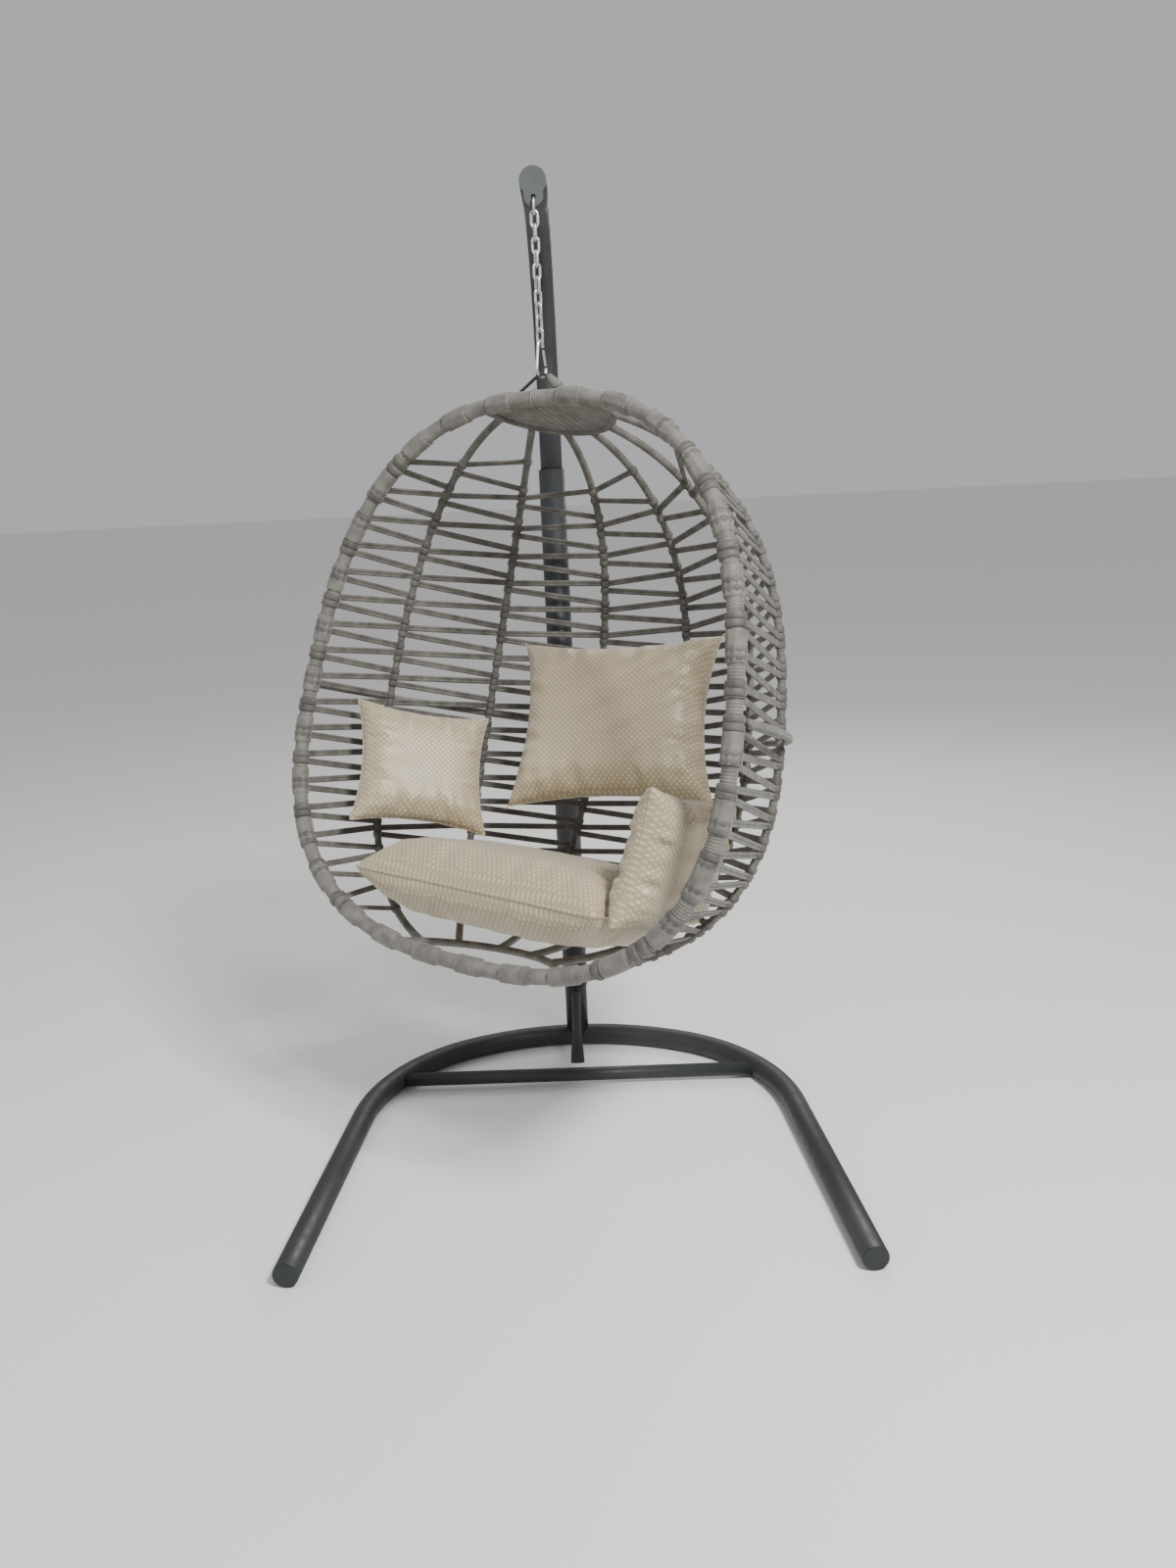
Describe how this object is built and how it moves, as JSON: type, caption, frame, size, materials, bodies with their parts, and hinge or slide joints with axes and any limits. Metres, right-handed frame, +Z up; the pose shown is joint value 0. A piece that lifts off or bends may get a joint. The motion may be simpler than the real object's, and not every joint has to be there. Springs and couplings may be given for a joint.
{
  "type": "hanging egg chair",
  "caption": "Open cord-laced egg chair with cushions, hung by a chain and snap hook from a curved pole on a bent-tube floor base.",
  "frame": {"origin": "floor level under the pole's axis, on the flat underside of the floor tube", "axes": "+Z up along the pole, -Y forward to the feet and the chair, +X to the right seen from in front of the chair"},
  "size_m": [1.1315, 1.0472, 1.9725],
  "materials": {
    "powder_black": "matte",
    "plate_grey_green": "matte",
    "plastic_black": "matte",
    "zinc": "satin",
    "corded_rod": "matte",
    "cord_taupe": "matte",
    "cord_pale": "matte",
    "satin_cream": "satin"
  },
  "bodies": {
    "stand": {"base_tube": "powder_black", "end_cap_left": "plastic_black", "end_cap_right": "plastic_black", "crossbar": "powder_black", "post": "powder_black", "pole_lower": "powder_black", "pole_bolt": "zinc", "pole_nut": "zinc", "pole_bush": "plastic_black", "pole_upper": "powder_black", "brace": "powder_black", "end_plate": "plate_grey_green"},
    "top_link": {"chain_link_00": "zinc"},
    "chain": {"chain_link_01": "zinc", "chain_link_02": "zinc", "chain_link_03": "zinc", "chain_link_04": "zinc", "chain_link_05": "zinc", "chain_link_06": "zinc", "chain_link_07": "zinc", "chain_link_08": "zinc", "chain_link_09": "zinc", "chain_link_10": "zinc", "hook_body": "zinc"},
    "gate": {"hook_gate": "zinc"},
    "chair": {"hanger": "powder_black", "rim_tube": "powder_black", "rim_wrap_upper_right": "cord_pale", "rim_wrap_lower_right": "cord_pale", "rim_wrap_lower_left": "cord_pale", "rim_wrap_upper_left": "cord_pale", "crown_bar": "corded_rod", "bottom_bar": "corded_rod", "belt_rod": "corded_rod", "rib_1": "corded_rod", "rib_2": "corded_rod", "rib_3": "corded_rod", "rib_4": "corded_rod", "rib_5": "corded_rod", "rib_6": "corded_rod", "weave_1": "cord_taupe", "weave_2": "cord_taupe", "weave_3": "cord_taupe", "weave_4": "cord_taupe", "weave_5": "cord_taupe", "weave_6": "cord_taupe", "weave_7": "cord_taupe", "canopy": "cord_taupe", "seat_cushion": "satin_cream", "back_cushion": "satin_cream", "arm_cushion_left": "satin_cream", "arm_cushion_right": "satin_cream"}
  },
  "joints": [
    {"name": "swing_fore_aft", "type": "hinge", "parent": "stand", "child": "top_link", "pos_m": [0, -0.5, 1.9093], "axis": [-1, 0, 0], "range_deg": [-1, 12]},
    {"name": "swing_sideways", "type": "hinge", "parent": "top_link", "child": "chain", "pos_m": [0, -0.5, 1.8901], "axis": [0, 1, 0], "range_deg": [-8, 8]},
    {"name": "chair_turn", "type": "hinge", "parent": "chain", "child": "chair", "pos_m": [0, -0.5, 1.6144], "axis": [0, 0, 1], "range_deg": [-18, 18], "stiffness_Nm_per_rad": 0.5},
    {"name": "gate_open", "type": "hinge", "parent": "chain", "child": "gate", "pos_m": [0.00482, -0.49337, 1.6561], "axis": [-0.809, 0.5878, 0], "range_deg": [0, 25], "stiffness_Nm_per_rad": 0.05}
  ]
}
